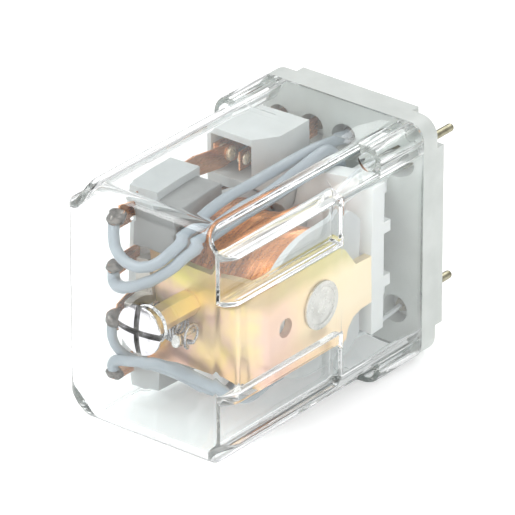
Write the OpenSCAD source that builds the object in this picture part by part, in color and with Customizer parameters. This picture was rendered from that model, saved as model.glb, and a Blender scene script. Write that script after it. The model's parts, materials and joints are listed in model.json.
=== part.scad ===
// Plug-in four-pole changeover relay with a clear cover, lying with its pins pointing along +Y.
// Origin: centre of the base's rear seating face. +X is the yoke side, +Z runs along the row of poles.

/* [Base and cover] */
// Width of the base and the cover
body_w = 36; // [36:0.5:37]
// Height of the base and the cover
body_h = 45; // [45:0.5:47]
// Depth of the cover in front of the base
cover_d = 53; // [53:0.5:55]
// Wall of the cover
cover_wall = 1.25; // [1.1:0.05:1.3]
// Radius of the rounding along the cover's front edges
front_r = 3.5; // [3:0.25:4]
// Radius of the screw grooves along the cover's corners
groove_r = 4.5; // [4.2:0.1:4.6]
// Length of the screw bosses at the cover's rear corners
boss_l = 12; // [10:1:13]
// Depth of the grip recesses in the cover's side
recess_d = 2.2; // [1.8:0.1:2.2]
// Length of the grip recesses in the cover's side
recess_l = 30.3; // [26:0.1:30.5]
// Thickness of the base's front flange
flange_t = 3.8; // [3.6:0.1:4.2]
// Thickness of the base's rear block
block_t = 1.9; // [1.8:0.1:2.2]
// Side of the square notches at the rear block's corners
notch_s = 5.5; // [5.2:0.1:5.6]

/* [Pins and poles] */
// Distance between the rows of the four poles
pole_pitch = 9.4; // [9.4:0.1:9.5]
// Radius of a pin
pin_r = 0.75; // [0.7:0.05:0.8]
// How far the pins stand out behind the base
pin_out = 11; // [8:0.5:12]
// Radius of the wells around the pins' inner ends
well_r = 2.65; // [2.4:0.05:2.7]
// Radius of the insulated leads
lead_r = 1; // [0.8:0.05:1]

/* [Magnet] */
// Radius of the coil's winding
winding_r = 12.2; // [11:0.1:12.4]
// Radius of the bobbin's round flange
bobbin_r = 13.7; // [13:0.1:13.7]
// Radius of the iron core
core_r = 3.5; // [3:0.1:3.6]
// Thickness of the yoke's plate
yoke_t = 1.6; // [1.4:0.1:1.6]
// Angle between the armature's open and closed places
swing_deg = 4; // [3.5:0.1:4.2]

/* [Hidden] */

$fn = 48;
ease = 0.02;                                  // gap between fixed pieces that sit in each other
front_y = -cover_d - flange_t - block_t;      // the cover's front face; module depths count from here
well_floor = cover_d + 3.2;                   // depth of the wells' floors
pin_inner = well_floor - 1.6;                 // depth of the pins' inner ends
body_back = cover_d + flange_t + block_t;     // depth of the seating face
shank_r = pin_r + 0.35;                       // radius of a pin's shank inside the base

column_closed = -13.6;                        // pins of the normally closed contacts
column_open = -6.2;                           // pins of the normally open contacts
column_common = 1.1;                          // pins of the moving contacts
coil_pin_x = 11.4;
coil_pin_z = 14.2;
corner_hole = [15.3, 19.8];
corner_hole_r = 1.6;
frame_screw = [7.2, 10];
recess_low = 9.7;                             // the grip recesses' edges, as heights from the middle
recess_top = 17.2;

coil_y = 28.4;                                // depth of the coil's axis
coil_z = -2.4;
collar_h = 1;                                 // how far the collar under the screw's head stands out
flange_l = [-6.7, -5.4];                      // the bobbin's flange by the armature
flange_r = [11.3, 12.7];                      // the bobbin's flange by the yoke
yoke_x = 14.35;                               // outer face of the yoke's side plate
yoke_y = 12;                                  // front face of the yoke's front leg
yoke_low = -12;
yoke_high = 7.2;
tab_end = 42.4;                               // depth of the yoke tab's end, at the frame plate
plate_back = 45.9;                            // depth of the frame plate's back

hinge = [-8.7, 12.8];                         // the armature's rocking edge, as x and depth
plate_t = 1.5;                                // thickness of the armature's plate
arm_x = -11.6;                                // middle of a moving arm, closed
arm_t = 0.3;
arm_tip_x = -9.8;                             // middle of a moving arm at its contact, closed
contact_y = 37;
contact_r = 1.3;
contact_h = 0.85;                             // height of a contact's head at its middle
strip_t = 0.4;
closed_face = -12.52;                         // face of the normally closed contacts
open_face = -8.77;                            // face of the normally open contacts
post_af = 3.8;                                // across the flats of the screw post
spring_z = -4.6;
spring_y = 9.5;

function pole_z(i) = (2.5 - i) * pole_pitch;  // i runs from 1 at the top to 4 at the bottom

// Routes of the leads, each as [x, depth, z]
route_1 = [
    [-11.2, 6.35, 13.6], [-11.2, 6.3, 12.6], [-11.1, 6.2, 11.2], [-10.2, 5.7, 9.2], [-7.9, 5.2, 7.8],
    [-4.6, 5.2, 7.6], [-2.2, 6.2, 8.8], [-0.9, 8.6, 10.6], [-0.5, 13, 12.6], [-0.3, 18, 14], [0, 24, 14.8],
    [0.4, 30, 15.2], [0.7, 38, 15.5], [1, 45, 15.6], [1.1, 50, 14.9], [1.1, 53.4, 14.2], [1.1, 54.5, 14.1]
];
route_2 = [
    [-11.2, 6.35, 4.2], [-11.2, 6.3, 3.4], [-10.8, 6, 2.6], [-9.4, 5.3, 2.4], [-7.2, 4.8, 3], [-4.4, 5, 4.4],
    [-2, 6, 6.2], [0, 8, 8.2], [1, 11, 10.2], [1.9, 15.5, 11.9], [2.5, 22, 13.1], [2.9, 30, 13.7],
    [3.2, 37, 15], [3.2, 42, 15.7], [3, 45.4, 15.6], [2.7, 48.2, 13.4], [2, 50.2, 9.6], [1.2, 52.2, 5.8],
    [1.1, 53.4, 4.9], [1.1, 54.5, 4.7]
];
route_3 = [
    [-11.2, 6.35, -5.2], [-11.2, 6.3, -6.2], [-11, 6.3, -7.6], [-10.3, 7, -9.4], [-8.4, 8.6, -11.1], [-3, 9.7, -12],
    [1.5, 9.8, -12.6], [4.6, 10.6, -14], [6, 13.5, -15.6], [6.2, 18, -15.8], [6.2, 28, -15.8], [6, 38, -15.6],
    [5, 44, -15.4], [4.2, 47, -14.6], [2.9, 49.6, -10.6], [1.4, 52.2, -6], [1.1, 53.4, -4.9], [1.1, 54.5, -4.7]
];
route_4 = [
    [-11.2, 6.35, -13.6], [-11.2, 6.3, -12.8], [-10.6, 6.2, -11.8], [-9.2, 6, -11], [-6.5, 5.8, -10.2],
    [-2.3, 6.2, -9.2], [2.3, 6.4, -9.5], [7, 6.7, -10.3], [10.4, 8, -11.8], [11, 10.8, -14],
    [10.3, 15, -15.6], [9.2, 21, -15.8], [8.8, 28, -15.8], [8.6, 36, -16.4], [7.4, 42, -17.4],
    [4.4, 47, -17.3], [2, 51, -15.4], [1.2, 53.3, -14.3], [1.1, 54.5, -14.1]
];
coil_route_1 = [
    [10.4, 31, 10.1], [10.4, 35, 10.6], [10.6, 38.5, 12.4], [11, 42, 15], [11.3, 46, 15.5],
    [11.4, 50, 14.8], [11.4, 54.5, 14.2]
];
coil_route_2 = [
    [10.4, 31, -14.9], [10.4, 35, -14.6], [10.6, 38.5, -14.6], [11, 42, -15], [11.3, 47, -15.2],
    [11.4, 51, -14.7], [11.4, 54.5, -14.2]
];

// Depths are counted from the cover's front face
module from_front() {
    translate([0, front_y, 0]) children();
}

// Extrudes an outline drawn in x and z towards +Y
module along_y(length) {
    rotate([90, 0, 0]) translate([0, 0, -length]) linear_extrude(length) children();
}

// Extrudes an outline drawn in y and z towards +X
module along_x(length) {
    rotate([90, 0, 90]) linear_extrude(length) children();
}

module rod_y(x, z, r, y0, y1) {
    translate([x, y0, z]) rotate([-90, 0, 0]) cylinder(r = r, h = y1 - y0);
}

module rod_x(y, z, r, x0, x1) {
    translate([x0, y, z]) rotate([0, 90, 0]) cylinder(r = r, h = x1 - x0);
}

module box(low, high) {
    translate(low) cube(high - low);
}

module rounded_square(w, h, r) {
    square([w - 2 * r, h], center = true);
    square([w, h - 2 * r], center = true);
    for (x = [-1, 1], z = [-1, 1]) translate([x * (w / 2 - r), z * (h / 2 - r)]) circle(r);
}

module at_corners(x, z) {
    for (i = [-1, 1], k = [-1, 1]) translate([i * x, k * z]) children();
}

// Places what moves with the armature: drawn closed, turned to its open rest
module on_armature() {
    translate([hinge[0], front_y + hinge[1], 0])
        rotate([0, 0, swing_deg])
            translate([-hinge[0], -hinge[1], 0])
                children();
}

// A smooth curve through a route's points, and a tube swept along it
function unit(v) = v / norm(v);
function spline(a, b, c, d, t) =
    (2 * b + (c - a) * t + (2 * a - 5 * b + 4 * c - d) * t * t + (3 * b - a - 3 * c + d) * t * t * t) / 2;
function smooth(p, steps) = concat(
    [for (i = [0 : len(p) - 2], k = [0 : steps - 1])
        spline(p[max(i - 1, 0)], p[i], p[i + 1], p[min(i + 2, len(p) - 1)], k / steps)],
    [p[len(p) - 1]]
);
function tangents(p) = [for (i = [0 : len(p) - 1]) unit(p[min(i + 1, len(p) - 1)] - p[max(i - 1, 0)])];
function sides(t, side, i = 0) = i == len(t) ? [] :
    let (s = unit(side - (side * t[i]) * t[i])) concat([s], sides(t, s, i + 1));

module tube(p, r, n = 8) {
    t = tangents(p);
    u = sides(t, abs(t[0][2]) > 0.8 ? [1, 0, 0] : [0, 0, 1]);
    rings = [for (i = [0 : len(p) - 1], k = [0 : n - 1])
        p[i] + r * (cos(360 * k / n) * u[i] + sin(360 * k / n) * cross(t[i], u[i]))];
    walls = [for (i = [0 : len(p) - 2], k = [0 : n - 1])
        [i * n + k, (i + 1) * n + k, (i + 1) * n + (k + 1) % n, i * n + (k + 1) % n]];
    ends = [[for (k = [0 : n - 1]) k], [for (k = [n - 1 : -1 : 0]) (len(p) - 1) * n + k]];
    polyhedron(points = rings, faces = concat(walls, ends), convexity = 6);
}

// ---- Base and pins ----

module base() color("#d8dad2") difference() {
    from_front() union() {
        translate([0, cover_d, 0]) along_y(flange_t) rounded_square(body_w, body_h, 3.5);
        translate([0, cover_d + flange_t, 0]) along_y(block_t) difference() {
            square([body_w, body_h], center = true);
            at_corners(body_w / 2, body_h / 2) square(2 * notch_s, center = true);
        }
    }
    from_front() for (i = [1 : 4], x = [column_closed, column_open, column_common]) {
        rod_y(x, pole_z(i), well_r, cover_d - 1, well_floor);
        rod_y(x, pole_z(i), shank_r + ease, well_floor - 1, body_back + 1);
    }
    from_front() for (z = [-coil_pin_z, coil_pin_z]) {
        rod_y(coil_pin_x, z, well_r, cover_d - 1, well_floor);
        rod_y(coil_pin_x, z, shank_r + ease, well_floor - 1, body_back + 1);
    }
    from_front() for (x = [-1, 1], z = [-1, 1])
        rod_y(x * corner_hole[0], z * corner_hole[1], corner_hole_r, cover_d - 1, body_back + 1);
    from_front() for (z = [-1, 1]) {
        rod_y(frame_screw[0], z * frame_screw[1], 1.3 + ease, cover_d - 1, body_back + 1);
        rod_y(frame_screw[0], z * frame_screw[1], 2.4, body_back - 1.6, body_back + 1);
    }
}

module pin(x, z) {
    from_front() {
        rod_y(x, z, shank_r, pin_inner, body_back);
        rod_y(x, z, pin_r, body_back - 0.5, body_back + pin_out - pin_r);
        rod_y(x, z, 1.4, well_floor - 0.8, well_floor - ease);
        translate([x, body_back + pin_out - pin_r, z]) sphere(pin_r);
    }
}

module contact_pins() color("#a8a080") for (i = [1 : 4], x = [column_closed, column_open, column_common])
    pin(x, pole_z(i));

module coil_pins() color("#a8a080") for (z = [-coil_pin_z, coil_pin_z]) pin(coil_pin_x, z);

// ---- Cover ----

// The cover's form, drawn in from its outside by inset and open at the back
module cover_form(inset) {
    w = body_w - 2 * inset;
    h = body_h - 2 * inset;
    r = front_r - inset;
    long = cover_d - inset + (inset > 0 ? 1 : 0);
    from_front() translate([0, inset, 0]) intersection() {
        along_y(long) difference() {
            square([w, h], center = true);
            at_corners(body_w / 2, body_h / 2) circle(groove_r + inset);
        }
        translate([0, 0, -h]) linear_extrude(2 * h) edge_rounded(w, long, r);
        translate([-w, 0, 0]) along_x(2 * w) rotate(90) mirror([0, 1]) edge_rounded(h, long, r);
    }
}

// A rectangle from y = 0 up, with its two corners at y = 0 rounded
module edge_rounded(w, long, r) {
    translate([-w / 2, r]) square([w, long - r]);
    translate([-w / 2 + r, 0]) square([w - 2 * r, long]);
    for (x = [-1, 1]) translate([x * (w / 2 - r), r]) circle(r);
}

// The two grip recesses in the +X side, grown by the wall for the inside
module recesses(grow) {
    high = recess_top - recess_low + 2 * grow;
    long = recess_l + 1 + grow;
    for (side = [-1, 1]) from_front()
        translate([body_w / 2 - recess_d - grow, -1, side * (recess_top + recess_low) / 2]) {
            along_x(10) translate([long / 2, 0]) rounded_square(long, high, 1.2 + grow);
            translate([0, 0, -high / 2]) cube([10, 8, high]);
        }
}

module cover() color("#eef2f2", 0.3) difference() {
    union() {
        difference() {
            cover_form(0);
            recesses(0);
            difference() {
                cover_form(cover_wall);
                recesses(cover_wall);
            }
        }
        from_front() translate([0, cover_d - boss_l, 0]) along_y(boss_l) intersection() {
            rounded_square(body_w, body_h, 3);
            at_corners(body_w / 2, body_h / 2) circle(groove_r + cover_wall);
        }
        from_front() rod_y(0, 0, 3.4, -collar_h, cover_wall + 0.9);
    }
    from_front() rod_y(0, 0, 1.5, -2, 4);
    from_front() for (x = [-1, 1], z = [-1, 1])
        rod_y(x * corner_hole[0], z * corner_hole[1], corner_hole_r, cover_d - boss_l - 1, cover_d + 1);
}

module cover_screw() color("#d6d6da") from_front() {
    head_r = 4.5;
    head_h = 2.3;
    dome_r = 14;
    slot_w = 1.1;
    difference() {
        union() {
            intersection() {
                rod_y(0, 0, head_r, -head_h, -collar_h - ease);
                translate([0, dome_r - head_h, 0]) sphere(dome_r, $fn = 96);
            }
            rod_y(0, 0, 1.25, -collar_h - 0.5, 9.6);
        }
        box([-head_r - 1, -head_h - 1, -slot_w / 2], [head_r + 1, -head_h + 1.2, slot_w / 2]);
        box([-slot_w / 2, -head_h - 1, -head_r - 1], [slot_w / 2, -head_h + 1.2, head_r + 1]);
    }
}

module screw_post() color("#a09048") from_front() difference() {
    union() {
        translate([0, 2.4, 0]) rotate([-90, 0, 0]) cylinder(r = post_af / sqrt(3), h = yoke_y - 2.4, $fn = 6);
        rod_y(0, 0, 1.4, yoke_y - 1, yoke_y + yoke_t);
    }
    rod_y(0, 0, 1.3, 1, 10.6);
}

// ---- Frame and magnet ----

module frame_plate() color("#e4e5e0") from_front() difference() {
    union() {
        box([-2, tab_end + ease, -14], [yoke_x, plate_back, 14]);
        for (z = [-5.1, 5.1]) box([11.6, plate_back - 1, z - 1.1], [yoke_x, plate_back + 1.8, z + 1.1]);
        for (z = [-1, 1]) box([frame_screw[0] - 2, plate_back - 1, z * frame_screw[1] - 2],
                              [frame_screw[0] + 2, cover_d, z * frame_screw[1] + 2]);
    }
    for (z = [-1, 1]) rod_y(frame_screw[0], z * frame_screw[1], 1.3 + ease, 47, cover_d + 1);
}

module frame_screws() color("#c8c8c8") from_front() for (z = [-1, 1]) difference() {
    union() {
        rod_y(frame_screw[0], z * frame_screw[1], 1.3, 48, body_back - 1);
        rod_y(frame_screw[0], z * frame_screw[1], 2.3, body_back - 1.6 + ease, body_back - 0.2);
    }
    box([frame_screw[0] - 3, body_back - 0.9, z * frame_screw[1] - 0.3],
        [frame_screw[0] + 3, body_back, z * frame_screw[1] + 0.3]);
}

module yoke() color("#d8a840") from_front() {
    bend_r = 3;
    difference() {
        intersection() {
            translate([0, 0, yoke_low]) linear_extrude(yoke_high - yoke_low) {
                translate([hinge[0] + 0.1, yoke_y]) square([yoke_x - bend_r - hinge[0] - 0.1, yoke_t]);
                translate([yoke_x - yoke_t, yoke_y + bend_r]) square([yoke_t, tab_end - yoke_y - bend_r]);
                translate([yoke_x - bend_r, yoke_y + bend_r]) intersection() {
                    difference() {
                        circle(bend_r);
                        circle(bend_r - yoke_t);
                    }
                    translate([0, -bend_r]) square(bend_r);
                }
            }
            translate([-20, 0, 0]) along_x(40) polygon([
                [0, yoke_low], [35.4, yoke_low], [36.1, -9.9], [37.4, -8.4], [39.4, -7.7], [tab_end, -7.6],
                [tab_end, 1.2], [38, 1.4], [33.6, yoke_high], [0, yoke_high]
            ]);
        }
        rod_x(coil_y, coil_z, core_r + ease, 10, 20);
        rod_x(18.9, -3, 1.75, 10, 20);
        rod_y(0, 0, 1.4 + ease, yoke_y - 1, yoke_y + yoke_t + 1);
        rod_y(1, spring_z, 0.55 + ease, yoke_y - 1, yoke_y + yoke_t + 1);
    }
}

module core() color("#b8b6b0") from_front() difference() {
    union() {
        rod_x(coil_y, coil_z, core_r, -7, yoke_x + 0.2);
        rod_x(coil_y, coil_z, 5, -8.65, flange_l[0] - ease);
        rod_x(coil_y, coil_z, 4.4, yoke_x + ease, yoke_x + 0.45);
    }
    rod_x(coil_y, coil_z, 3.4, yoke_x + 0.25, yoke_x + 1);
}

// Round towards the yoke's front leg, nearly square towards the base
module yoke_side_flange() {
    circle(12.6);
    intersection() {
        circle(16.6);
        translate([0, -13.7]) square([12.6, 27.4]);
    }
    intersection() {
        circle(bobbin_r);
        translate([-bobbin_r, -bobbin_r]) square([bobbin_r, 2 * bobbin_r]);
    }
}

module bobbin() color("#b4c0c0") from_front() difference() {
    union() {
        rod_x(coil_y, coil_z, bobbin_r, flange_l[0], flange_l[1]);
        translate([flange_r[0], coil_y, coil_z]) along_x(flange_r[1] - flange_r[0]) yoke_side_flange();
        rod_x(coil_y, coil_z, core_r + 1.1, flange_l[0], flange_r[1]);
    }
    rod_x(coil_y, coil_z, core_r + ease, -10, 20);
}

module winding() color("#b06030") from_front() difference() {
    rod_x(coil_y, coil_z, winding_r, flange_l[1] + ease, flange_r[0] - ease);
    rod_x(coil_y, coil_z, core_r + 1.1 + ease, -10, 20);
}

module spring_stud() color("#b8b6b0") from_front() {
    rod_y(1, spring_z, 0.55, 6.8, yoke_y + yoke_t);
    rod_y(1, spring_z, 0.95, 6.3, 6.9);
}

// ---- Armature, carrier and moving contacts ----

module armature() color("#a8a49c") on_armature() difference() {
    union() {
        box([hinge[0] - plate_t, 11.2, -9.9], [hinge[0], 31.5, 5.1]);
        box([hinge[0] - plate_t, 8, -6.6], [hinge[0], 12, -2.2]);
    }
    rod_x(spring_y, spring_z + 0.3, 0.65, -12, -8);
    for (y = [16.5, 21]) rod_x(y, 0, 1 + ease, -12, -8);
}

module arm_blank(i, fat) {
    translate([0, 0, pole_z(i) - 2 - fat]) linear_extrude(4 + 2 * fat) polygon([
        [arm_x - arm_t / 2 - fat, 7.6], [arm_x + arm_t / 2 + fat, 7.6],
        [arm_x + arm_t / 2 + fat, 29], [arm_tip_x + arm_t / 2 + fat, 35],
        [arm_tip_x + arm_t / 2 + fat, 39.4], [arm_tip_x - arm_t / 2 - fat, 39.4],
        [arm_tip_x - arm_t / 2 - fat, 35], [arm_x - arm_t / 2 - fat, 29]
    ]);
}

module moving_arm(i) color("#b87038") on_armature() {
    drop = i == 4 ? 0.4 : 1;
    difference() {
        union() {
            arm_blank(i, 0);
            translate([arm_x, 7, pole_z(i) + drop - 1.4]) cylinder(r = 1.3, h = 1.4);
        }
        rod_x(contact_y, pole_z(i), 0.7 + ease, -12, -8);
    }
}

module moving_contacts() color("#c8c4b8") on_armature() for (i = [1 : 4]) {
    rod_x(contact_y, pole_z(i), 0.7, arm_tip_x - 0.5, arm_tip_x + 0.5);
    for (side = [0, 180]) translate([arm_tip_x, contact_y, pole_z(i)]) rotate([0, 90 + side, 0])
        translate([0, 0, arm_t / 2 + ease]) contact_head(contact_h - ease);
}

module contact_head(height) {
    dome_r = 3.5;
    intersection() {
        cylinder(r = contact_r, h = height);
        translate([0, 0, height - dome_r]) sphere(dome_r);
    }
}

module armature_carrier() color("#c4cac8") on_armature() difference() {
    union() {
        box([-13.6, 14, -16.8], [hinge[0] - plate_t - ease, 25, 17]);
        box([-13.2, 12.5, 11.2], [-7.5, 25, 17]);
        box([-12.3, 13.5, -19.4], [-8, 25, -14]);
    }
    for (i = [1 : 4]) arm_blank(i, ease);
    for (y = [16.5, 21]) rod_x(y, 0, 1 + ease, -15, -8);
    box([-7.5 - 1.5, 13.5, 12.4], [-7, 24.5, 15.4]);
}

module carrier_bridge() color("#4c5254") on_armature() {
    box([-9 + ease, 13.5 + ease, 12.4 + ease], [-2.6, 24.5 - ease, 15.4 - ease]);
    box([-7.5 + ease, 11, 12.4 + ease], [-2.6, 14, 15.4 - ease]);
    box([-10.9, 11, 7.7], [-2.6, 12.5 - ease, 15.4 - ease]);
}

module carrier_rivets() color("#c8c4b8") on_armature() for (y = [16.5, 21]) {
    rod_x(y, 0, 1, -13.8, hinge[0]);
    rod_x(y, 0, 1.7, -14.1, -13.6 - ease);
}

// ---- Contact block and fixed contacts ----

module contact_block() color("#e0e1da") from_front() difference() {
    union() {
        translate([0, 0, -19]) linear_extrude(38) polygon([
            [-14.8, 35], [-5.2, 35], [-2.3, 39.3], [-2.3, 47.4], [-14.8, 47.4]
        ]);
        for (z = [-9.4, 9.4]) box([-12.5, 47, z - 1.7], [-3.6, cover_d, z + 1.7]);
    }
    for (i = [1 : 4]) {
        box([-13.9, 34, pole_z(i) - 3.6], [-5.2, 44.4, pole_z(i) + 3.6]);
        strip_closed(i, ease);
        strip_open(i, ease);
    }
    rod_x(coil_y, coil_z, bobbin_r + 0.3, -7, 0);
    for (z = [-1, 1]) rod_y(-body_w / 2, z * body_h / 2, groove_r + cover_wall + 0.3, 30, cover_d);
}

module strip_closed(i, fat) {
    box([-13.2 - strip_t - fat, 35.2, pole_z(i) - 1.75 - fat], [-13.2 + fat, pin_inner, pole_z(i) + 1.75 + fat]);
}

module strip_open(i, fat) {
    near = -8.1;
    far = column_open - strip_t / 2;
    translate([0, 0, pole_z(i) - 1.75 - fat]) linear_extrude(3.5 + 2 * fat) polygon([
        [near - fat, 35.2], [near + strip_t + fat, 35.2], [near + strip_t + fat, 48], [far + strip_t + fat, 51],
        [far + strip_t + fat, pin_inner], [far - fat, pin_inner], [far - fat, 51], [near - fat, 48]
    ]);
}

module closed_strip(i) color("#b87038") from_front() difference() {
    strip_closed(i, 0);
    rod_x(contact_y, pole_z(i), 0.7 + ease, -15, -12);
}

module open_strip(i) color("#b87038") from_front() difference() {
    strip_open(i, 0);
    rod_x(contact_y, pole_z(i), 0.7 + ease, -10, -7);
}

module closed_contacts() color("#c8c4b8") from_front() for (i = [1 : 4]) {
    rod_x(contact_y, pole_z(i), 0.7, -13.6, -13);
    translate([-13.2 + ease, contact_y, pole_z(i)]) rotate([0, 90, 0])
        cylinder(r = contact_r, h = closed_face + 13.2 - ease);
}

module open_contacts() color("#c8c4b8") from_front() for (i = [1 : 4]) {
    rod_x(contact_y, pole_z(i), 0.7, -8.3, -7.7);
    translate([open_face, contact_y, pole_z(i)]) rotate([0, 90, 0])
        cylinder(r = contact_r, h = -8.1 - ease - open_face);
}

// ---- Leads and spring ----

module lead_1() color("#7c8890") from_front() tube(smooth(route_1, 4), lead_r);
module lead_2() color("#7c8890") from_front() tube(smooth(route_2, 4), lead_r);
module lead_3() color("#7c8890") from_front() tube(smooth(route_3, 4), lead_r);
module lead_4() color("#7c8890") from_front() tube(smooth(route_4, 4), lead_r);
module coil_lead_1() color("#a8b0b0") from_front() tube(smooth(coil_route_1, 4), 0.45);
module coil_lead_2() color("#a8b0b0") from_front() tube(smooth(coil_route_2, 4), 0.45);

// A helix between two hooks: one through the armature's tail, one round the stud on the yoke
module return_spring() color("#8c8c90") from_front() {
    turns = 9;
    coil_mean = 1.85;
    wire_r = 0.28;
    first_x = -7.2;
    last_x = 0;
    steps = 12;
    helix = [for (k = [0 : turns * steps])
        [first_x + (last_x - first_x) * k / (turns * steps),
         spring_y + coil_mean * sin(360 * k / steps),
         spring_z + 0.2 - 0.2 * k / (turns * steps) - coil_mean * cos(360 * k / steps)]];
    loop = [for (k = [0 : steps - 1])
        [2, spring_y + coil_mean * sin(360 * k / steps), spring_z - coil_mean * cos(360 * k / steps)]];
    hook = [[-10.8, 9.46, -5.3], [-10.75, 9.46, -4.6], [-10.3, 9.46, -4.3], [-9, 9.46, -4.3], [-8.1, 9.46, -4.7],
            [-7.6, 9, -5.7]];
    tube(concat(hook, helix, loop), wire_r, 6);
}

base();
contact_pins();
coil_pins();
cover();
cover_screw();
screw_post();
frame_plate();
frame_screws();
contact_block();
yoke();
core();
bobbin();
winding();
armature();
armature_carrier();
carrier_bridge();
carrier_rivets();
moving_arm(1);  // moving_arm_1
moving_arm(2);  // moving_arm_2
moving_arm(3);  // moving_arm_3
moving_arm(4);  // moving_arm_4
moving_contacts();
open_strip(1);  // open_strip_1
open_strip(2);  // open_strip_2
open_strip(3);  // open_strip_3
open_strip(4);  // open_strip_4
open_contacts();
closed_strip(1);  // closed_strip_1
closed_strip(2);  // closed_strip_2
closed_strip(3);  // closed_strip_3
closed_strip(4);  // closed_strip_4
closed_contacts();
lead_1();
lead_2();
lead_3();
lead_4();
coil_lead_1();
coil_lead_2();
return_spring();
spring_stud();
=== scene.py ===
"""The looks of the plug-in control relay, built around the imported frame."""
import json
import math

import bmesh
import bpy
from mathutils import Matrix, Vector, noise

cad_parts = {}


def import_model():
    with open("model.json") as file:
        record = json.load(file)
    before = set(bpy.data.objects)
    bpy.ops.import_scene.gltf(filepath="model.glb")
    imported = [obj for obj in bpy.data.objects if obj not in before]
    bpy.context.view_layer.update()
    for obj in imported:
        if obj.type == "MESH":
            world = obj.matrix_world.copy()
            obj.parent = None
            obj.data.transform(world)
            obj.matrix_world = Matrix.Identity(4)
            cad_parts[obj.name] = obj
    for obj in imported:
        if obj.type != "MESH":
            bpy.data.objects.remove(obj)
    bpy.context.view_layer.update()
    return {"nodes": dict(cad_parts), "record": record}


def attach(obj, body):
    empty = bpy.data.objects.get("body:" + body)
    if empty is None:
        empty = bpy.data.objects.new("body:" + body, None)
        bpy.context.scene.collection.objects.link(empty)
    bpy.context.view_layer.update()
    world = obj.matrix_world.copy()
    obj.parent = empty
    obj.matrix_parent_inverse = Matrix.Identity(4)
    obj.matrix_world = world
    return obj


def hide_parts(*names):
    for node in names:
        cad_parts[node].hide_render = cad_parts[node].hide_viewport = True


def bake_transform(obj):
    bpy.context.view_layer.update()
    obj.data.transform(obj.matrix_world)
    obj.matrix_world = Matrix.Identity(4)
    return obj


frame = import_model()

MM = 0.001
FRONT = -58.7  # the cover's front face; depths count from it towards the pins
BODY_OF = {n: body for body, nodes in frame["record"]["behaviour"]["bodies"].items() for n in nodes}
SLOT_OF = {row["node"]: row["material_slot"] for row in frame["record"]["subparts"]}


def at(x, depth, z):
    """A point given in millimetres, with its depth behind the cover's front face."""
    return Vector((x, depth + FRONT, z)) * MM


# ---- Materials ----

class Shader:
    """A Principled material and the few node calls that this script repeats."""

    def __init__(self, name, **sockets):
        self.material = bpy.data.materials.new(name)
        self.material.use_nodes = True
        self.tree = self.material.node_tree
        self.bsdf = self.tree.nodes["Principled BSDF"]
        self.coords = self.tree.nodes.new("ShaderNodeTexCoord").outputs["Object"]
        for socket, value in sockets.items():
            self.set(socket, value)

    def set(self, socket, value):
        self.bsdf.inputs[socket.replace("_", " ")].default_value = value

    def wire(self, output, socket):
        self.tree.links.new(output, self.bsdf.inputs[socket])

    def feed(self, socket, value):
        """Links a node's output to a socket, or sets a plain value on it."""
        if isinstance(value, bpy.types.NodeSocket):
            self.tree.links.new(value, socket)
        else:
            socket.default_value = value

    def node(self, kind, **inputs):
        made = self.tree.nodes.new("ShaderNode" + kind)
        for key, value in inputs.items():
            self.feed(made.inputs[key.replace("_", " ")], value)
        return made

    def math(self, operation, *values):
        made = self.tree.nodes.new("ShaderNodeMath")
        made.operation = operation
        for socket, value in zip(made.inputs, values):
            self.feed(socket, value)
        return made.outputs["Value"]

    def stretched(self, stretch):
        return self.node("Mapping", Vector=self.coords, Scale=stretch).outputs["Vector"]

    def noise(self, scale, detail=3.0, roughness=0.55, stretch=None):
        where = self.stretched(stretch) if stretch else self.coords
        made = self.node("TexNoise", Vector=where, Scale=scale, Detail=detail, Roughness=roughness)
        return made.outputs["Fac"]

    def ramp(self, factor, stops):
        made = self.node("ValToRGB", Fac=factor)
        colours = made.color_ramp.elements
        while len(colours) < len(stops):
            colours.new(0.5)
        for element, (place, colour) in zip(colours, stops):
            element.position = place
            element.color = (*colour, 1.0)
        return made.outputs["Color"]

    def range(self, value, low, high, from_low=0.3, from_high=0.7):
        made = self.node("MapRange", Value=value, From_Min=from_low, From_Max=from_high,
                         To_Min=low, To_Max=high)
        return made.outputs["Result"]

    def bump(self, height, distance, strength=1.0):
        made = self.node("Bump", Height=height, Distance=distance, Strength=strength)
        self.wire(made.outputs["Normal"], "Normal")


def plastic(name, low, high, rough, grain=0.00002, subsurface=0.0, coat=0.0):
    """A moulded plastic: faint colour clouding, uneven gloss and a fine spark-eroded grain."""
    made = Shader(name, IOR=1.5)
    made.wire(made.ramp(made.noise(160.0, 4.0), [(0.32, low), (0.68, high)]), "Base Color")
    made.wire(made.range(made.noise(900.0), rough - 0.06, rough + 0.08), "Roughness")
    made.bump(made.noise(4200.0, 2.0), grain, 0.5)
    if subsurface:
        made.set("Subsurface Weight", subsurface)
        made.set("Subsurface Radius", (0.0016, 0.0014, 0.0012))
        made.set("Subsurface Scale", 1.0)
    if coat:
        made.set("Coat Weight", coat)
        made.set("Coat Roughness", 0.12)
    return made.material


def metal(name, low, high, rough, grain=0.00001, stretch=None, scale=500.0, metallic=1.0):
    """A metal with clouded colour, uneven polish and a light grain, drawn out along its rolling."""
    made = Shader(name, Metallic=metallic)
    clouds = made.noise(scale, 4.0, stretch=stretch)
    polish = made.noise(scale * 2.3, 3.0, stretch=stretch)
    made.wire(made.ramp(clouds, [(0.3, low), (0.7, high)]), "Base Color")
    made.wire(made.range(polish, rough - 0.07, rough + 0.1), "Roughness")
    made.bump(made.noise(scale * 5, 2.0, stretch=stretch), grain, 0.6)
    return made.material


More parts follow.
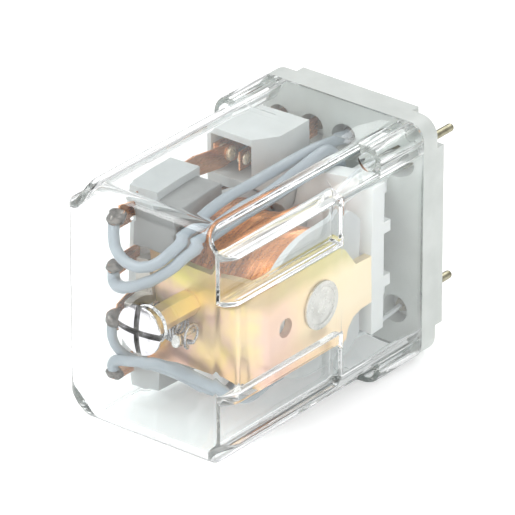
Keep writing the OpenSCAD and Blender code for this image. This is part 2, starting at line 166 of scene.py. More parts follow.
def clear_plastic():
    """Clear polycarbonate. Light for what is inside passes through it without a shadow."""
    made = Shader("clear_polycarbonate", IOR=1.5, Transmission_Weight=1.0)
    tints = [(0.3, (0.965, 0.985, 0.98)), (0.7, (0.985, 0.992, 0.99))]
    made.wire(made.ramp(made.noise(40.0), tints), "Base Color")
    made.wire(made.range(made.noise(120.0), 0.0, 0.015), "Roughness")
    made.bump(made.noise(55.0, 1.0), 0.00004, 0.3)
    tree = made.tree
    rays = tree.nodes.new("ShaderNodeLightPath")
    through = tree.nodes.new("ShaderNodeBsdfTransparent")
    through.inputs["Color"].default_value = (0.95, 0.97, 0.97, 1.0)
    mix = tree.nodes.new("ShaderNodeMixShader")
    tree.links.new(rays.outputs["Is Shadow Ray"], mix.inputs[0])
    tree.links.new(made.bsdf.outputs["BSDF"], mix.inputs[1])
    tree.links.new(through.outputs["BSDF"], mix.inputs[2])
    tree.links.new(mix.outputs["Shader"], tree.nodes["Material Output"].inputs["Surface"])
    return made.material


def yellow_chromate():
    """Passivated zinc: gold that drifts to orange, rose and olive in soft bands."""
    made = Shader("yellow_chromate_zinc", Metallic=0.82, IOR=1.6)
    axes = made.node("SeparateXYZ", Vector=made.coords)
    wander = made.noise(120.0, 3.0)
    depth = made.range(axes.outputs["Y"], 0.0, 1.0, (11.0 + FRONT) * MM, (43.0 + FRONT) * MM)
    height = made.range(axes.outputs["Z"], 0.0, 1.0, -12.0 * MM, 7.5 * MM)
    along = made.ramp(made.math("MULTIPLY_ADD", wander, 0.5, depth), [
        (0.20, (0.90, 0.73, 0.28)), (0.34, (0.82, 0.56, 0.45)), (0.44, (0.88, 0.61, 0.46)),
        (0.60, (0.94, 0.71, 0.46)), (0.80, (0.95, 0.77, 0.50)), (1.0, (0.95, 0.80, 0.56))])
    across = made.ramp(made.math("MULTIPLY_ADD", wander, 0.25, height), [
        (0.15, (1.0, 0.88, 0.82)), (0.45, (1.0, 1.0, 1.0)),
        (0.80, (1.0, 1.0, 0.95)), (0.95, (0.70, 0.76, 0.52))])
    tint = made.tree.nodes.new("ShaderNodeMix")
    tint.data_type = "RGBA"
    tint.blend_type = "MULTIPLY"
    tint.inputs["Factor"].default_value = 1.0
    made.tree.links.new(along, tint.inputs["A"])
    made.tree.links.new(across, tint.inputs["B"])
    made.wire(tint.outputs["Result"], "Base Color")
    made.wire(made.range(made.noise(700.0), 0.28, 0.42), "Roughness")
    made.bump(made.noise(2600.0, 2.0), 0.00001, 0.5)
    return made.material


def nickel_with_painted_slot_shade():
    """Bright nickel with painted shade in its cross slots, where it is also duller, wherever the screw has
    turned to.
    """
    made = Shader("nickel_painted_shade_in_slots", Metallic=1.0)
    axes = made.node("SeparateXYZ", Vector=made.coords).outputs
    nearest = made.math("MINIMUM", made.math("ABSOLUTE", axes["X"]), made.math("ABSOLUTE", axes["Z"]))
    behind = made.range(axes["Y"], 0.0, 0.6, (FRONT - 1.05) * MM, (FRONT - 0.95) * MM)
    beside = made.range(nearest, 0.0, 0.6, 0.46 * MM, 0.62 * MM)
    outside = made.math("MAXIMUM", behind, beside)
    # painted shade: the colour ramp darkens the slots, where shade falls, and leaves the nickel outside
    # them bright
    colour = made.ramp(made.math("ADD", outside, made.noise(700.0)), [
        (0.3, (0.16, 0.16, 0.15)), (0.62, (0.26, 0.26, 0.25)),
        (0.85, (0.58, 0.58, 0.60)), (1.0, (0.74, 0.74, 0.76))])
    made.wire(colour, "Base Color")
    made.wire(made.range(outside, 0.5, 0.16, 0.0, 0.6), "Roughness")
    made.bump(made.noise(2500.0, 2.0), 0.000008, 0.5)
    return made.material


def enamelled_copper():
    """Varnished copper wire: orange metal, darker from turn to turn."""
    made = Shader("enamelled_copper", Metallic=0.85, Coat_Weight=0.6, Coat_Roughness=0.1)
    turns = made.noise(900.0, 2.0, stretch=(3.0, 0.15, 0.15))
    made.wire(made.ramp(turns, [(0.3, (0.50, 0.16, 0.05)), (0.7, (0.92, 0.43, 0.16))]), "Base Color")
    made.wire(made.range(made.noise(1500.0), 0.22, 0.38), "Roughness")
    made.bump(made.noise(2500.0, 2.0), 0.000012, 0.5)
    return made.material


MATERIALS = {
    "base_plastic": plastic(
        "off_white_plastic", (0.51, 0.54, 0.515), (0.58, 0.61, 0.585), 0.44, subsurface=0.1),
    "pin_metal": metal("dull_nickel_brass", (0.20, 0.185, 0.12), (0.42, 0.40, 0.29), 0.3),
    "clear_cover": clear_plastic(),
    "screw_nickel": metal("bright_nickel", (0.62, 0.62, 0.64), (0.80, 0.80, 0.82), 0.18),
    "cover_screw": nickel_with_painted_slot_shade(),
    "frame_plastic": plastic(
        "white_frame_plastic", (0.78, 0.80, 0.79), (0.84, 0.86, 0.85), 0.4, subsurface=0.15),
    "block_plastic": plastic(
        "white_block_plastic", (0.58, 0.60, 0.59), (0.65, 0.67, 0.66), 0.45, subsurface=0.15),
    "yellow_chromate": yellow_chromate(),
    "core_steel": metal("turned_core_steel", (0.52, 0.51, 0.48), (0.70, 0.69, 0.66), 0.3),
    "bobbin_plastic": plastic(
        "grey_bobbin_plastic", (0.52, 0.54, 0.54), (0.60, 0.62, 0.62), 0.38, subsurface=0.2),
    "copper_wire": enamelled_copper(),
    "armature_steel": metal("stamped_steel", (0.38, 0.36, 0.32), (0.58, 0.56, 0.52), 0.34),
    "carrier_plastic": plastic(
        "light_grey_plastic", (0.47, 0.495, 0.495), (0.54, 0.565, 0.565), 0.44, subsurface=0.1),
    "bridge_plastic": plastic("dark_grey_plastic", (0.23, 0.235, 0.23), (0.30, 0.305, 0.30), 0.42),
    "rivet_steel": metal("bright_steel", (0.55, 0.54, 0.52), (0.74, 0.73, 0.71), 0.24),
    "silver_contact": metal(
        "gilded_silver", (0.95, 0.80, 0.55), (1.0, 0.95, 0.80), 0.26, metallic=0.55),
    "copper_strip": metal(
        "rolled_copper_strip", (0.66, 0.28, 0.13), (0.90, 0.52, 0.30), 0.26, stretch=(1, 0.2, 1)),
    "lead_insulation": plastic(
        "blue_grey_insulation", (0.31, 0.36, 0.40), (0.37, 0.42, 0.46), 0.36, coat=0.2),
    "coil_lead_insulation": plastic("pale_insulation", (0.62, 0.65, 0.66), (0.70, 0.73, 0.74), 0.36),
    "spring_steel": metal("drawn_spring_wire", (0.34, 0.34, 0.35), (0.58, 0.58, 0.60), 0.24),
    "solder": metal("dull_solder", (0.09, 0.085, 0.075), (0.26, 0.24, 0.22), 0.36, scale=900.0),
}


# ---- Meshes ----

def add(name, mesh, material, body, slot, *nodes):
    """Links a finished mesh as a piece that rides on a body and stands for its CAD nodes."""
    piece = bpy.data.objects.new(name, mesh)
    bpy.context.scene.collection.objects.link(piece)
    mesh.materials.clear()
    mesh.materials.append(MATERIALS[material])
    if nodes:
        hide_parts(*nodes)
    if body:
        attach(piece, body)
    return piece


def smooth_shade(mesh, degrees=32):
    for face in mesh.polygons:
        face.use_smooth = True
    mesh.set_sharp_from_angle(angle=math.radians(degrees))


def edited(mesh, edit):
    """Runs one bmesh edit on a mesh."""
    work = bmesh.new()
    work.from_mesh(mesh)
    edit(work)
    work.to_mesh(mesh)
    work.free()
    return mesh


def merge(work, distance):
    bmesh.ops.remove_doubles(work, verts=work.verts, dist=distance)


def face_outwards(work):
    bmesh.ops.recalc_face_normals(work, faces=work.faces)


def drop_slivers(work):
    bmesh.ops.dissolve_degenerate(work, edges=work.edges, dist=1e-6)


def build(points, faces, degrees=40):
    mesh = bpy.data.meshes.new("built")
    mesh.from_pydata([tuple(p) for p in points], [], faces)
    mesh.validate()
    smooth_shade(mesh, degrees)
    return mesh


def evaluated_mesh(piece):
    """A piece's mesh with its modifiers applied."""
    bpy.context.view_layer.update()
    return bpy.data.meshes.new_from_object(piece.evaluated_get(bpy.context.evaluated_depsgraph_get()))


def modified(mesh, kind, **settings):
    """The mesh that one modifier makes of a mesh."""
    holder = bpy.data.objects.new("holder", mesh)
    bpy.context.scene.collection.objects.link(holder)
    modifier = holder.modifiers.new("step", kind)
    for key, value in settings.items():
        setattr(modifier, key, value)
    finished = evaluated_mesh(holder)
    bpy.data.objects.remove(holder)
    return finished


def bevelled(node, width, segments=2, degrees=35):
    """A copy of a CAD node's mesh with its sharp edges rounded over."""

    def join_flat_faces(work):
        merge(work, 2e-6)
        bmesh.ops.dissolve_limit(work, angle_limit=math.radians(0.6), verts=work.verts, edges=work.edges)

    mesh = edited(frame["nodes"][node].data.copy(), join_flat_faces)
    rounded = modified(mesh, "BEVEL", width=width * MM, segments=segments, limit_method="ANGLE",
                       angle_limit=math.radians(degrees), miter_outer="MITER_ARC",
                       use_clamp_overlap=True)
    smooth_shade(rounded)
    return modified(rounded, "WEIGHTED_NORMAL", keep_sharp=True)


def catmull(points, steps):
    """A smooth run through given points, as part.scad draws it."""
    run = []
    for i in range(len(points) - 1):
        a, b = points[max(i - 1, 0)], points[i]
        c, d = points[i + 1], points[min(i + 2, len(points) - 1)]
        for k in range(steps):
            t = k / steps
            run.append((2 * b + (c - a) * t + (2 * a - 5 * b + 4 * c - d) * t * t
                        + (3 * b - a - 3 * c + d) * t ** 3) / 2)
    run.append(points[-1])
    return run


def quads(rows, sides, wrap=False):
    """The faces between rings of points that lie one after another."""
    faces = []
    for i in range(rows if wrap else rows - 1):
        near, far = i * sides, (i + 1) % rows * sides
        faces += [(near + k, near + (k + 1) % sides, far + (k + 1) % sides, far + k) for k in range(sides)]
    return faces


def ring(radius, count, x=0.0, z=0.0):
    """The points of a circle, as x and z."""
    turns = [2 * math.pi * k / count for k in range(count)]
    return [(x + radius * math.cos(turn), z + radius * math.sin(turn)) for turn in turns]


def tube(path, radius, sides):
    """A round tube swept along a path, closed at both ends."""
    count = len(path)
    tangents = [(path[min(i + 1, count - 1)] - path[max(i - 1, 0)]).normalized() for i in range(count)]
    side = Vector((1, 0, 0)) if abs(tangents[0].z) > 0.8 else Vector((0, 0, 1))
    points = []
    for centre, tangent in zip(path, tangents):
        side = (side - tangent * side.dot(tangent)).normalized()
        other = tangent.cross(side)
        points += [centre + across * side + up * other for across, up in ring(radius, sides)]
    faces = quads(count, sides)
    faces.append(tuple(range(sides - 1, -1, -1)))
    faces.append(tuple((count - 1) * sides + k for k in range(sides)))
    return build(points, faces, 50)


def lathe_x(profile, centre, sides=96):
    """A ring turned about an X axis. profile is a closed run of (x, radius) in metres."""
    points = [(x, y, z) for x, radius in profile for y, z in ring(radius, sides, centre.y, centre.z)]
    return build(points, quads(len(profile), sides, wrap=True), 60)


# ---- Bevelled CAD pieces ----

# How far each piece's edges are rounded, in millimetres
EDGES = {
    "base": 0.25, "contact_pins": 0.08, "coil_pins": 0.08, "cover_screw": 0.14, "screw_post": 0.12,
    "frame_plate": 0.2, "frame_screws": 0.1, "contact_block": 0.18, "yoke": 0.14, "core": 0.14,
    "bobbin": 0.14, "armature": 0.12, "armature_carrier": 0.22, "carrier_bridge": 0.3,
    "carrier_rivets": 0.14, "moving_contacts": 0.08, "open_contacts": 0.08, "closed_contacts": 0.08,
    "spring_stud": 0.12,
}
STRIP_EDGE = 0.05
for number in "1234":
    for strip in ("moving_arm_", "open_strip_", "closed_strip_"):
        EDGES[strip + number] = STRIP_EDGE

for node, width in EDGES.items():
    material = node if node in MATERIALS else SLOT_OF[node]  # the screw has a material of its own
    add(node + "_piece", bevelled(node, width), material, BODY_OF[node], SLOT_OF[node], node)


# ---- Cover ----

HALF_W = 18.0                          # half of the cover's width
HALF_H = 22.5                          # half of its height
COVER_END = 53.0                       # depth of its open end
WALL = 1.25
FRONT_R = 3.5                          # rounding of its front edges
GROOVE = 4.5                           # radius of the hollow corners
RECESS_X = 15.8                        # floor of the grip recesses
RECESS_LOW, RECESS_TOP = 9.7, 17.2     # their edges, as heights from the middle
RECESS_STEP = 1.1                      # how much narrower they are behind their end
BOSS_AT = 41.0                         # depth where the corner bosses start
BOSS_R = 3.0                           # rounding of the bosses
HOLE_X, HOLE_Z, HOLE_R = 15.3, 19.8, 1.6
ARC_POINTS = 15


def run_of(stretches, soft):
    """Joins stretches and rounds the corners between them.

    Each stretch is a function of 0 to 1, its length and its count of points.
    """
    trims = []
    for i in range(len(stretches) - 1):
        trims.append(max(min(soft, 0.45 * stretches[i][1], 0.45 * stretches[i + 1][1]), 0.0))
    run = []
    for i, (curve, length, count) in enumerate(stretches):
        start = trims[i - 1] / max(length, 1e-6) if i else 0.0
        end = 1.0 - (trims[i] / max(length, 1e-6) if i < len(trims) else 0.0)
        if length < 1e-6:
            start, end = 0.0, 1.0
        run += [curve(start + (end - start) * k / (count - 1)) for k in range(count)]
        if i < len(trims):
            following, next_length, _ = stretches[i + 1]
            a, corner = curve(end), curve(1.0)
            b = following(trims[i] / next_length if next_length > 1e-6 else 0.0)
            for k in (0.2, 0.4, 0.6, 0.8):
                weights = ((1 - k) ** 2, 2 * k * (1 - k), k * k)
                run.append(tuple(sum(w * point[j] for w, point in zip(weights, (a, corner, b)))
                                 for j in (0, 1)))
    return run


def line(a, b, count=2):
    return (lambda t: (a[0] + (b[0] - a[0]) * t, a[1] + (b[1] - a[1]) * t), math.dist(a, b), count)


def corner_arc(side_x, top_z, groove, boss):
    """The corner between the side and the top: a hollow groove, or a boss's rounding.

    boss is None along the groove, or how far the boss's rounding is dented.
    """
    if boss is not None:
        centre = (HALF_W - BOSS_R, HALF_H - BOSS_R)

        def curve(t):
            turn = t * math.pi / 2
            r = BOSS_R - boss * math.sin(2 * turn)
            return (centre[0] + r * math.cos(turn), centre[1] + r * math.sin(turn))
        return curve, BOSS_R * math.pi / 2, ARC_POINTS
    # At the rounded front edge the corner lies farther in than the groove reaches
    if math.dist((side_x, top_z), (HALF_W, HALF_H)) > groove - 0.12:
        return line((side_x, top_z - 0.2), (side_x - 0.2, top_z), ARC_POINTS)
    low = math.atan2(-math.sqrt(groove ** 2 - (HALF_W - side_x) ** 2), side_x - HALF_W)
    high = math.atan2(top_z - HALF_H, -math.sqrt(groove ** 2 - (HALF_H - top_z) ** 2))
    if high > 0:
        high -= 2 * math.pi

    def curve(t):
        turn = low + (high - low) * t
        return (HALF_W + groove * math.cos(turn), HALF_H + groove * math.sin(turn))
    return curve, groove * abs(high - low), ARC_POINTS


def quarter(side_x, top_z, groove, recess, boss, soft):
    """A quarter of the outline, from the middle of the side to the middle of the top.

    recess is None, or the x of its floor, its low edge and its top edge, which is None
    where it runs on into the corner.
    """
    arc = corner_arc(side_x, top_z, groove, boss)
    start, end = arc[0](0.0), arc[0](1.0)
    if recess is None:
        stretches = [line((side_x, 0), start)]
    else:
        floor_x, low, top = recess
        floor_x = min(floor_x, side_x)
        stretches = [line((side_x, 0), (side_x, low)), line((side_x, low), (floor_x, low))]
        if top is None:
            arc = corner_arc(floor_x, top_z, groove, boss)
            stretches.append(line((floor_x, low), arc[0](0.0)))
        else:
            stretches += [line((floor_x, low), (floor_x, top)), line((floor_x, top), (side_x, top)),
                          line((side_x, top), start)]
    return run_of(stretches + [arc, line(end, (0, top_z))], soft)


def outline(side_x, top_z, groove, recess=None, boss=None, soft=0.5):
    """The whole outline of the cover at one depth, as points in x and z."""
    with_recess = quarter(side_x, top_z, groove, recess, boss, soft)
    plain = quarter(side_x, top_z, groove, None, boss, soft)
    return (with_recess[:-1]
            + [(-x, z) for x, z in reversed(plain)][:-1]
            + [(-x, -z) for x, z in plain][:-1]
            + [(x, -z) for x, z in reversed(with_recess)][:-1])


# Depth, how far the recess has narrowed, and its floor: it ends in a small ramp 30.3 mm back
RECESS_RUN = [
    (12, 0, RECESS_X), (20, 0, RECESS_X), (28.9, 0, RECESS_X), (29.5, 0.15, RECESS_X),
    (29.9, 0.4, RECESS_X), (30.15, 0.75, 15.95), (30.28, 1.0, 16.3), (30.33, RECESS_STEP, 17.3),
    (30.42, RECESS_STEP, 17.75), (30.6, RECESS_STEP, 17.95), (30.8, RECESS_STEP, HALF_W),
    (36, RECESS_STEP, HALF_W), (40.8, RECESS_STEP, HALF_W),
]
# Depth, and how far the boss's rounding is still dented there
BOSS_RUN = [(BOSS_AT, 0.35), (BOSS_AT + 0.1, 0.12), (BOSS_AT + 0.35, 0.0), (47, 0.0), (52.9, 0.0)]
# Depth and the x of the inner face of the side: the wall steps out behind the recess
INNER_RUN = [
    (16, 14.55), (30.9, 14.55), (31.3, 14.62), (31.5, 14.85), (31.56, 16.4), (31.7, 16.7), (31.9, 16.75),
    (42, 16.75), (COVER_END, 16.75),
]
# Radius and depth of the collar under the screw's head, from its root over its hole to its back
COLLAR_RUN = [
    (3.65, 0), (3.47, -0.06), (3.4, -0.25), (3.4, -0.85), (3.25, -1.0), (1.62, -1.0), (1.5, -0.88),
    (1.5, 2.03), (1.62, 2.15), (3.25, 2.15), (3.4, 2.0), (3.4, 1.5), (3.6, WALL),
]


def rounded_front(radius, count):
    """How far in and how deep each ring of a rounded front edge lies."""
    turns = [math.pi / 2 * k / (count - 1) for k in range(count)]
    return [(radius * (1 - math.sin(turn)), radius * (1 - math.cos(turn))) for turn in turns]


def outer_rings():
    rings = []
    for inset, depth in rounded_front(FRONT_R, 10):
        recess = (RECESS_X, RECESS_LOW, RECESS_TOP)
        rings.append((depth, outline(HALF_W - inset, HALF_H - inset, GROOVE, recess)))
    for depth, narrow, floor_x in RECESS_RUN:
        recess = (floor_x, RECESS_LOW + narrow, RECESS_TOP - narrow)
        rings.append((depth, outline(HALF_W, HALF_H, GROOVE, recess)))
    plain = (HALF_W, RECESS_LOW + RECESS_STEP, RECESS_TOP - RECESS_STEP)
    for depth, dent in BOSS_RUN:
        rings.append((depth, outline(HALF_W, HALF_H, GROOVE, plain, dent)))
    return rings + [(COVER_END, outline(HALF_W - 0.1, HALF_H - 0.1, GROOVE, plain, 0.1))]


def inner_rings():
    rings = []
    side_x, top_z, groove = HALF_W - WALL, HALF_H - WALL, GROOVE + WALL
    floor_x, low = RECESS_X - WALL, RECESS_LOW - WALL
    for inset, depth in rounded_front(FRONT_R - WALL, 8):
        recess = (floor_x, low, None)
        rings.append((WALL + depth, outline(side_x - inset, top_z - inset, groove, recess, soft=0.8)))
    for depth, x in INNER_RUN:
        rings.append((depth, outline(side_x, top_z, groove, (x, low, None), soft=0.8)))
    return rings


def cover_shell():
    """The cover as one closed wall, with its screw collar and the holes through its corner bosses."""
    work = bmesh.new()

    def loft(rings):
        rows = [[work.verts.new(at(x, depth, z)) for x, z in points] for depth, points in rings]
        for a, b in zip(rows, rows[1:]):
            for k in range(len(a)):
                n = (k + 1) % len(a)
                work.faces.new((a[k], a[n], b[n], b[k]))

    loft(outer_rings())
    loft(inner_rings())
    loft([(depth, ring(radius, 64)) for radius, depth in COLLAR_RUN])
    merge(work, 2e-6)
    drop_slivers(work)
    for depth in (0.0, WALL, COVER_END):
        level = at(0, depth, 0).y
        rim = [edge for edge in work.edges
               if len(edge.link_faces) == 1 and all(abs(v.co.y - level) < 1e-6 for v in edge.verts)]
        bmesh.ops.triangle_fill(work, edges=rim, use_beauty=True)
    face_outwards(work)
    if work.calc_volume(signed=True) < 0:
        bmesh.ops.reverse_faces(work, faces=work.faces)
    mesh = bpy.data.meshes.new("cover")
    work.to_mesh(mesh)
    work.free()
    return drilled(mesh)


def drilled(mesh):
    """Cuts the four screw holes through the corner bosses."""
    shell = bpy.data.objects.new("shell", mesh)
    bpy.context.scene.collection.objects.link(shell)
    drills = []
    sides = 40
    for x in (-HOLE_X, HOLE_X):
        for z in (-HOLE_Z, HOLE_Z):
            circle = ring(HOLE_R, sides, x, z)
            points = [at(px, depth, pz) for depth in (BOSS_AT - 1, COVER_END + 1) for px, pz in circle]
            faces = quads(2, sides) + [tuple(range(sides - 1, -1, -1)), tuple(range(sides, 2 * sides))]
            drill = bpy.data.objects.new("drill", edited(build(points, faces), face_outwards))
            bpy.context.scene.collection.objects.link(drill)
            drills.append(drill)
            cut = shell.modifiers.new("hole", "BOOLEAN")
            cut.operation = "DIFFERENCE"
            cut.solver = "EXACT"
            cut.object = drill
    finished = evaluated_mesh(shell)
    for extra in drills + [shell]:
        bpy.data.objects.remove(extra)

    def clean(work):
        merge(work, 8e-6)
        drop_slivers(work)

    smooth_shade(edited(finished, clean), 38)
    return finished


add("cover_shell", cover_shell(), "clear_cover", "cover", "clear_cover", "cover")


# ---- Winding ----

COIL_DEPTH, COIL_Z = 28.4, -2.4
COIL_ENDS = (-5.36, 11.26)   # inside the bobbin's flanges
COIL_R = 11.8                # to the bottom of the grooves between turns
COIL_BORE_R = 5.0
WIRE_PITCH = 0.3


def winding():
    """Close turns of wire, as ridges of one ring between the bobbin's flanges."""
    low, high = COIL_ENDS
    turns = int((high - low) / WIRE_PITCH)
    steps = 4
    profile = []
    for turn in range(turns):
        unevenness = 0.18 * noise.noise(Vector((turn * 0.21, 3.7, 1.3)))
        for k in range(steps):
            share = (k + 0.5) / steps
            x = low + (turn + share) * (high - low) / turns
            ridge = 0.10 * math.sin(math.pi * share)
            profile.append((x * MM, (COIL_R + ridge + unevenness) * MM))
    profile += [(high * MM, COIL_BORE_R * MM), (low * MM, COIL_BORE_R * MM)]
    return lathe_x(profile, at(0, COIL_DEPTH, COIL_Z))


add("winding_turns", winding(), "copper_wire", "root", "copper_wire", "winding")


# ---- Leads and spring ----

# Routes of the leads as x, depth and z. The first four start at the moving arms, the others at the coil.
ROUTES = {
    "lead_1": [
        (-11.2, 6.35, 13.6), (-11.2, 6.3, 12.6), (-11.1, 6.2, 11.2), (-10.2, 5.7, 9.2), (-7.9, 5.2, 7.8),
        (-4.6, 5.2, 7.6), (-2.2, 6.2, 8.8), (-0.9, 8.6, 10.6), (-0.5, 13, 12.6), (-0.3, 18, 14),
        (0, 24, 14.8), (0.4, 30, 15.2), (0.7, 38, 15.5), (1, 45, 15.6), (1.1, 50, 14.9),
        (1.1, 53.4, 14.2), (1.1, 54.5, 14.1)],
    "lead_2": [
        (-11.2, 6.35, 4.2), (-11.2, 6.3, 3.4), (-10.8, 6, 2.6), (-9.4, 5.3, 2.4), (-7.2, 4.8, 3),
        (-4.4, 5, 4.4), (-2, 6, 6.2), (0, 8, 8.2), (1, 11, 10.2), (1.9, 15.5, 11.9), (2.5, 22, 13.1),
        (2.9, 30, 13.7), (3.2, 37, 15), (3.2, 42, 15.7), (3, 45.4, 15.6), (2.7, 48.2, 13.4),
        (2, 50.2, 9.6), (1.2, 52.2, 5.8), (1.1, 53.4, 4.9), (1.1, 54.5, 4.7)],
    "lead_3": [
        (-11.2, 6.35, -5.2), (-11.2, 6.3, -6.2), (-11, 6.3, -7.6), (-10.3, 7, -9.4), (-8.4, 8.6, -11.1),
        (-3, 9.7, -12), (1.5, 9.8, -12.6), (4.6, 10.6, -14), (6, 13.5, -15.6), (6.2, 18, -15.8),
        (6.2, 28, -15.8), (6, 38, -15.6), (5, 44, -15.4), (4.2, 47, -14.6), (2.9, 49.6, -10.6),
        (1.4, 52.2, -6), (1.1, 53.4, -4.9), (1.1, 54.5, -4.7)],
    "lead_4": [
        (-11.2, 6.35, -13.6), (-11.2, 6.3, -12.8), (-10.6, 6.2, -11.8), (-9.2, 6, -11), (-6.5, 5.8, -10.2),
        (-2.3, 6.2, -9.2), (2.3, 6.4, -9.5), (7, 6.7, -10.3), (10.4, 8, -11.8), (11, 10.8, -14),
        (10.3, 15, -15.6), (9.2, 21, -15.8), (8.8, 28, -15.8), (8.6, 36, -16.4), (7.4, 42, -17.4),
        (4.4, 47, -17.3), (2, 51, -15.4), (1.2, 53.3, -14.3), (1.1, 54.5, -14.1)],
    "coil_lead_1": [
        (10.4, 31, 10.1), (10.4, 35, 10.6), (10.6, 38.5, 12.4), (11, 42, 15), (11.3, 46, 15.5),
        (11.4, 50, 14.8), (11.4, 54.5, 14.2)],
    "coil_lead_2": [
        (10.4, 31, -14.9), (10.4, 35, -14.6), (10.6, 38.5, -14.6), (11, 42, -15), (11.3, 47, -15.2),
        (11.4, 51, -14.7), (11.4, 54.5, -14.2)],
}
LEAD_R, COIL_LEAD_R, SPRING_WIRE_R = 1.0, 0.45, 0.27
SPRING_DEPTH, SPRING_Z, SPRING_R = 9.5, -4.6, 1.85


def flexible(name, mesh, slot, node):
    """Adds a piece on no body, with its placement baked into its mesh."""
    piece = add(name, mesh, slot, None, slot, node)
    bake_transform(piece)


def leads():
    for node, route in ROUTES.items():
        path = catmull([at(*point) for point in route], 8)
        if node.startswith("coil"):
            slot = "coil_lead_insulation"
            add(node + "_wire", tube(path, COIL_LEAD_R * MM, 14), slot, "root", slot, node)
        else:
            sleeve = tube(path, LEAD_R * MM, 24)
            flexible(node + "_sleeve", sleeve, "lead_insulation", node)


def spring_path():
    """The spring's wire: a hook through the armature, nine coils, and a ring round the stud."""
    turns, steps, length, drop, stud_x = 9, 30, 7.2, 0.2, 2.0
    total = turns * steps

    def coil_point(x, k, raised=0.0):
        turn = 2 * math.pi * k / steps
        return (x, SPRING_DEPTH + SPRING_R * math.sin(turn), SPRING_Z + raised - SPRING_R * math.cos(turn))

    hook = [(-10.8, 9.46, -5.3), (-10.75, 9.46, -4.6), (-10.3, 9.46, -4.3), (-9, 9.46, -4.3),
            (-8.1, 9.46, -4.7), (-7.6, 9, -5.7)]
    helix = [coil_point(-length * (1 - k / total), k, drop * (1 - k / total)) for k in range(total + 1)]
    loop = [coil_point(stud_x, k) for k in range(2, steps - 1)]
    lead_in = catmull([at(*p) for p in hook + helix[:2]], 5)[:-6]
    lead_out = catmull([at(*p) for p in [helix[-2], helix[-1]] + loop[:2]], 5)[5:-5]
    return lead_in + [at(*p) for p in helix] + lead_out + [at(*p) for p in loop]


leads()
spring = tube(spring_path(), SPRING_WIRE_R * MM, 10)
flexible("return_spring_wire", spring, "spring_steel", "return_spring")


# ---- Solder and rivet heads ----

POLE_Z = (14.1, 4.7, -4.7, -14.1)        # the pins and contacts of the four poles, from the top
ARM_END_Z = (14.4, 5.0, -4.4, -14.4)     # where the leads meet the moving arms


def blob(centre, size, seed, rings=22, sides=32, swell_by=0.14):
    """An ellipsoid with three half axes in millimetres, made uneven by swell_by."""
    half_axes = Vector(size) * MM
    points = []
    for i in range(rings + 1):
        tilt = math.pi * i / rings
        for k in range(sides):
            turn = 2 * math.pi * k / sides
            way = Vector((math.sin(tilt) * math.cos(turn), math.sin(tilt) * math.sin(turn),
                          math.cos(tilt)))
            swell = 1 + swell_by * noise.noise(way * 1.7 + Vector((seed, 0, 0)))
            points.append(centre + Vector(w * h for w, h in zip(way, half_axes)) * swell)

    def close(work):
        merge(work, 1e-6)
        face_outwards(work)

    return edited(build(points, quads(rings + 1, sides), 80), close)


def solder_joints():
    """Dark solder where the leads meet the moving arms and the pins in their wells."""
    for number, (arm_z, pin_z) in enumerate(zip(ARM_END_Z, POLE_Z), 1):
        arm_solder = blob(at(-11.15, 6.72, arm_z), (1.62, 1.52, 1.15), number)
        well_solder = blob(at(1.1, 54.7, pin_z), (1.3, 0.7, 1.3), number + 7)
        add(f"arm_solder_{number}", arm_solder, "solder", "armature", "pin_metal")
        add(f"well_solder_{number}", well_solder, "solder", "root", "pin_metal")


def rivet_heads():
    """The domed ends of the fixed contacts, on the back of the normally open strips."""
    for number, pole_z in enumerate(POLE_Z, 1):
        head = blob(at(-7.86, 37, pole_z), (0.62, 1.25, 1.25), seed=0, swell_by=0.0)
        add(f"open_rivet_{number}", head, "silver_contact", "root", "silver_contact")


solder_joints()
rivet_heads()


# ---- Floor, light and camera ----

def floor():
    """A pale floor that glows a little, just under the relay's lower side."""
    reach, level = 3.0, -(HALF_H + 0.02) * MM
    corners = [(-reach, -reach, level), (reach, -reach, level),
               (reach, reach, level), (-reach, reach, level)]
    mesh = build(corners, [(0, 1, 2, 3)])
    made = Shader("pale_floor", Roughness=0.9)
    greys = [(0.3, (0.93, 0.93, 0.93)), (0.7, (0.95, 0.95, 0.95))]
    made.wire(made.ramp(made.noise(3.0), greys), "Base Color")
    made.set("Emission Color", (1.0, 1.0, 1.0, 1.0))
    made.set("Emission Strength", 0.3)
    mesh.materials.append(made.material)
    piece = bpy.data.objects.new("floor", mesh)
    bpy.context.scene.collection.objects.link(piece)


def area_light(name, offset, size, power):
    """A soft rectangular light, aimed at the middle of the relay from an offset in metres."""
    middle = at(0, 30, 0)
    data = bpy.data.lights.new(name, "AREA")
    data.shape = "RECTANGLE"
    data.size, data.size_y = size
    data.energy = power
    light = bpy.data.objects.new(name, data)
    light.location = middle + Vector(offset)
    light.rotation_euler = (-Vector(offset)).to_track_quat("-Z", "Y").to_euler()
    bpy.context.scene.collection.objects.link(light)


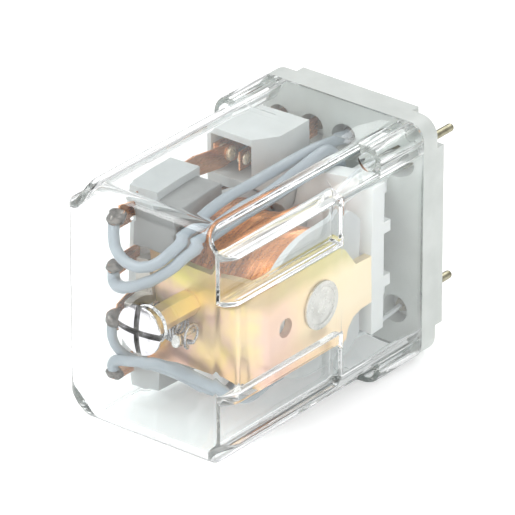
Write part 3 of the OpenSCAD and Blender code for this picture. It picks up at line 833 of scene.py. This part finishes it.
def world():
    """A pale studio: white above, a little darker low down and to the sides."""
    made = bpy.data.worlds.new("studio")
    made.use_nodes = True
    tree = made.node_tree
    back = tree.nodes["Background"]
    coords = tree.nodes.new("ShaderNodeTexCoord")
    axes = tree.nodes.new("ShaderNodeSeparateXYZ")
    tree.links.new(coords.outputs["Generated"], axes.inputs[0])
    ramp = tree.nodes.new("ShaderNodeValToRGB")
    spread = tree.nodes.new("ShaderNodeMapRange")
    spread.inputs["From Min"].default_value = -0.1
    spread.inputs["From Max"].default_value = 1.0
    tree.links.new(axes.outputs["Z"], spread.inputs["Value"])
    tree.links.new(spread.outputs["Result"], ramp.inputs["Fac"])
    stops = [(0.0, 0.70), (0.16, 0.42), (0.38, 0.68), (1.0, 0.9)]
    while len(ramp.color_ramp.elements) < len(stops):
        ramp.color_ramp.elements.new(0.5)
    for element, (place, level) in zip(ramp.color_ramp.elements, stops):
        element.position = place
        element.color = (level, level, level * 1.01, 1.0)
    tree.links.new(ramp.outputs["Color"], back.inputs["Color"])
    back.inputs["Strength"].default_value = 1.0
    bpy.context.scene.world = made


floor()
world()
area_light("key", (-0.35, -0.45, 0.65), (0.5, 0.4), 2.3)
area_light("fill", (0.60, -0.30, 0.30), (0.35, 0.5), 1.0)
area_light("front", (0.18, -0.75, 0.14), (0.6, 0.5), 1.3)
area_light("back", (-0.10, 0.65, 0.55), (0.6, 0.3), 1.6)

AZIMUTH, ELEVATION = math.radians(38.46), math.radians(27.06)
CAMERA_AWAY = 1.2
aim = at(0, 30.25, 1.0)
toward = Vector((math.sin(AZIMUTH) * math.cos(ELEVATION),
                 -math.cos(AZIMUTH) * math.cos(ELEVATION),
                 math.sin(ELEVATION)))
lens = bpy.data.cameras.new("camera")
lens.sensor_width = 36.0
lens.lens = 494.0
lens.clip_end = 20.0
camera = bpy.data.objects.new("camera", lens)
camera.location = aim + toward * CAMERA_AWAY
camera.rotation_euler = (-toward).to_track_quat("-Z", "Y").to_euler()
bpy.context.scene.collection.objects.link(camera)
bpy.context.scene.camera = camera
bpy.context.scene.view_settings.view_transform = "Standard"
bounces = bpy.context.scene.cycles  # light has to leave the cover's thick edges, or they turn black
bounces.max_bounces = bounces.transmission_bounces = bounces.glossy_bounces = 32
bounces.transparent_max_bounces = 16
